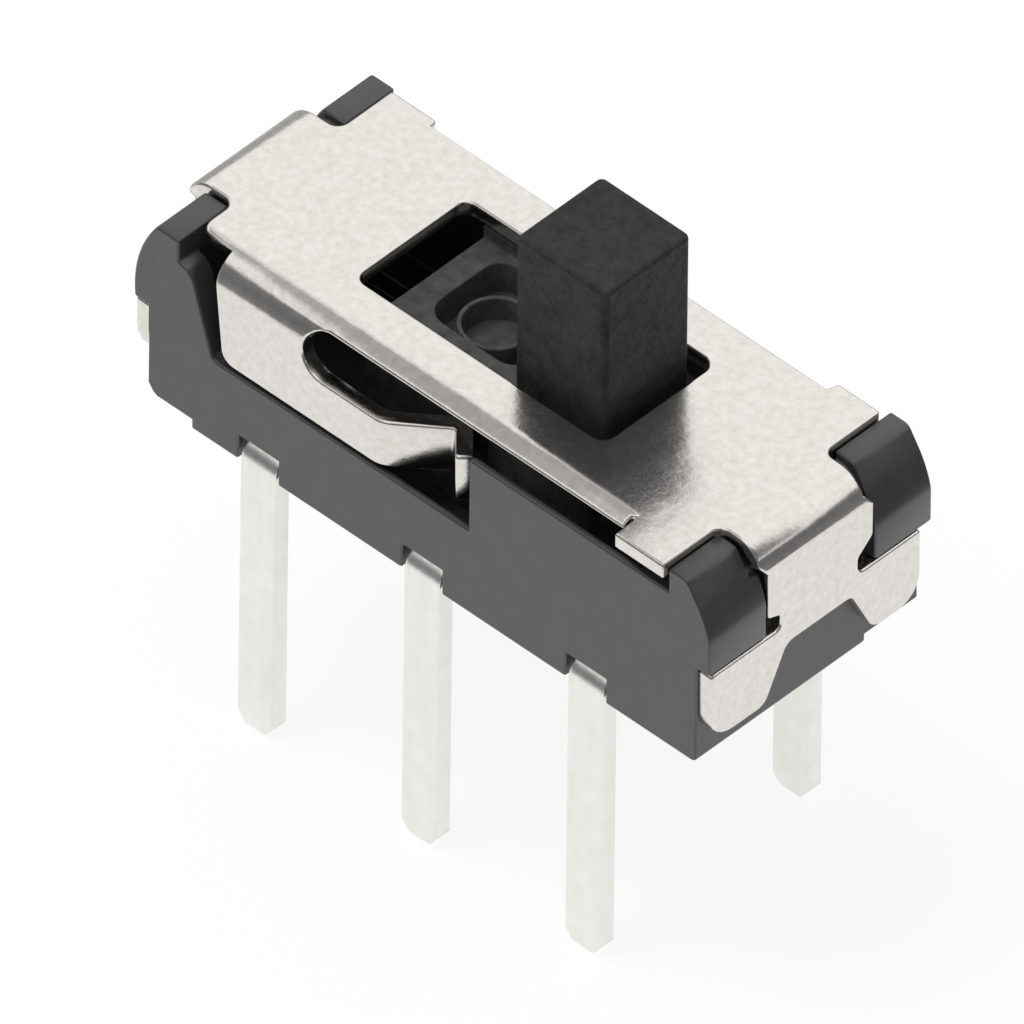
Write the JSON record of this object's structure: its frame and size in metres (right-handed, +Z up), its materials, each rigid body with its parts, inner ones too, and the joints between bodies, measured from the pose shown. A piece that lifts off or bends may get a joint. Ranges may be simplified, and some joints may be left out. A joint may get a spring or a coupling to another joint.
{
  "type": "slide switch",
  "caption": "Miniature through-hole slide switch: square knob in a windowed steel cover with a side spring arm, on a moulded base with straight pins.",
  "frame": {"origin": "centre of the base's underside, in the plane of the circuit board's top face", "axes": "+X along the switch, towards the end the knob is at; +Y across it, away from the spring arm; +Z up, away from the board"},
  "size_m": [0.0089, 0.0037, 0.0088],
  "materials": {
    "base_plastic": "dark grey moulded plastic, satin",
    "cover_steel": "satin plated sheet steel, finely mottled",
    "slider_plastic": "near-black moulded plastic, finely textured",
    "pin_plating": "matt tin plating over brass",
    "contact_alloy": "plain spring bronze"
  },
  "bodies": {
    "housing": {"base_housing": "base_plastic", "steel_cover": "cover_steel", "pin_near_left": "pin_plating", "pin_near_middle": "pin_plating", "pin_near_right": "pin_plating", "pin_far_left": "pin_plating", "pin_far_middle": "pin_plating", "pin_far_right": "pin_plating"},
    "slider": {"slider_knob": "slider_plastic", "contact_near": "contact_alloy", "contact_far": "contact_alloy"}
  },
  "joints": [
    {"name": "knob_slide", "type": "slide", "parent": "housing", "child": "slider", "axis": [1, 0, 0], "range_m": [-0.00208, 0]}
  ]
}
